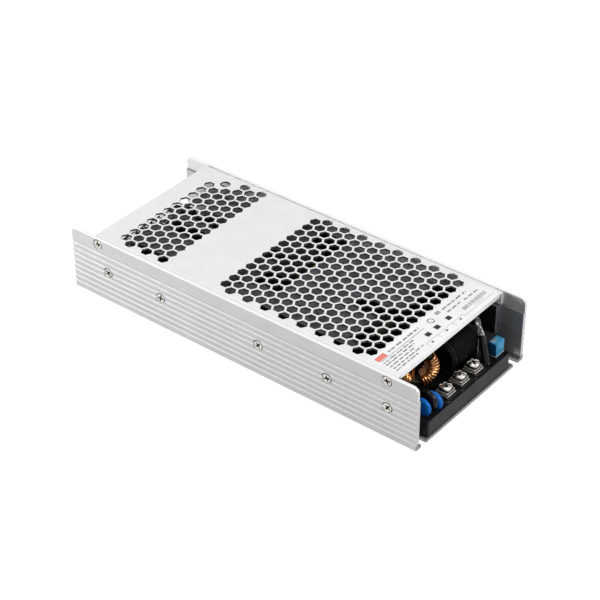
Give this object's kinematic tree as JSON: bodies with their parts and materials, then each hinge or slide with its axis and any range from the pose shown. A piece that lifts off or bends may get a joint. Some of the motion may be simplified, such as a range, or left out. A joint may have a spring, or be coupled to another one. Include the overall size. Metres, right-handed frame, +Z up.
{
  "type": "dc-dc converter",
  "caption": "Flat ribbed aluminium power converter with a hexagon-vented cover and screw terminals in an open bay at each end.",
  "frame": {"origin": "centre of the base, on the plane that the case stands on", "axes": "+X along the case to the input terminals, +Y across it, +Z up through the vented cover"},
  "size_m": [0.2036, 0.085, 0.0343],
  "materials": {
    "case_aluminium": "satin, drawn finish",
    "cover_sheet": "satin sheet",
    "nickel_screw": "nickel-plated steel",
    "label_film": "matte printed film",
    "bar_aluminium": "mill finish",
    "black_epoxy": "moulded, slightly rough",
    "dark_strip": "matte insulating strip",
    "tray_film": "thin black film, satin",
    "compound": "cast, glossy and slightly wavy",
    "board": "glass-epoxy laminate",
    "spacer": "moulded",
    "terminal_base": "moulded, satin",
    "terminal_plate": "tinned",
    "blue_coating": "dipped epoxy, satin",
    "black_coating": "dipped epoxy, matte",
    "film_case": "moulded box",
    "ferrite": "sintered, matte",
    "copper_wire": "enamelled copper",
    "lead_wire": "tinned copper",
    "sleeve": "shrunk sleeve, satin",
    "can_black": "shrunk film on a can",
    "fuse_glass": "glazed tube",
    "fuse_metal": "nickel-plated caps",
    "yellow_tape": "polyester tape",
    "light_body": "translucent moulded lens",
    "insulation": "thin matte sheet"
  },
  "bodies": {
    "root": {"chassis": "case_aluminium", "top_cover": "cover_sheet", "cover_screws": "nickel_screw", "side_screws": "nickel_screw", "rating_label": "label_film", "heat_spreader_right": "bar_aluminium", "heat_spreader_left": "bar_aluminium", "power_transistors": "black_epoxy", "insulating_strips": "dark_strip", "tab_screws": "nickel_screw", "potting_tray": "tray_film", "potting_compound": "compound", "main_board": "board", "board_spacers": "spacer", "insulation_sheet": "insulation", "input_terminal_base": "terminal_base", "input_terminal_plates": "terminal_plate", "input_terminal_washers": "terminal_plate", "input_terminal_screws": "nickel_screw", "output_terminal_base": "terminal_base", "output_terminal_plates": "terminal_plate", "output_terminal_washers": "terminal_plate", "output_terminal_screws": "nickel_screw", "surge_discs": "blue_coating", "inrush_thermistor": "black_coating", "film_capacitor": "film_case", "input_choke_core": "ferrite", "input_choke_windings": "copper_wire", "earth_lead": "lead_wire", "lead_sleeve": "sleeve", "input_capacitors": "can_black", "fuse_tube": "fuse_glass", "fuse_caps": "fuse_metal", "transformer_core": "ferrite", "transformer_coil": "yellow_tape", "auxiliary_core": "ferrite", "auxiliary_coil": "yellow_tape", "output_choke_core": "ferrite", "output_choke_winding": "copper_wire", "output_capacitors": "can_black", "status_led": "light_body"}
  },
  "joints": []
}
